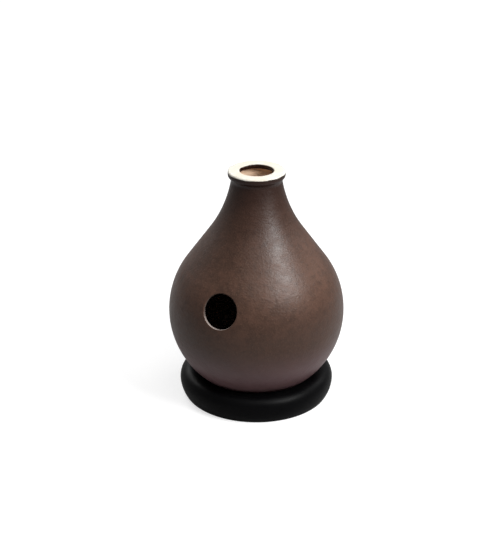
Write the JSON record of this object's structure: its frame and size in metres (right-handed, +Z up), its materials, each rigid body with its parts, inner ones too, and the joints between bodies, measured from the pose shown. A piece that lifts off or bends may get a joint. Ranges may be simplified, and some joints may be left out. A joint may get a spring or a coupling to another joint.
{
  "type": "udu drum",
  "caption": "Round-bellied clay pot drum with a flanged mouth on top and a round side hole, resting loose in a black ring stand.",
  "frame": {"origin": "on the floor under the pot, on the pot's axis, where the ring stand's foot stands", "axes": "+Z up along the pot's axis to the mouth, -Y towards the side hole, X across"},
  "size_m": [0.2699, 0.27, 0.3657],
  "materials": {
    "slip_clay": "fired clay with a matt brown slip that has a soft leathery sheen; lip land bare cream clay",
    "black_rubber": "matt black moulded rubber"
  },
  "bodies": {
    "ring": {"ring_stand": "black_rubber"},
    "drum": {"pot": "slip_clay"}
  },
  "joints": [
    {"name": "pot_lift", "type": "slide", "parent": "ring", "child": "drum", "axis": [0, 0, 1], "range_m": [0, 0.06]}
  ]
}
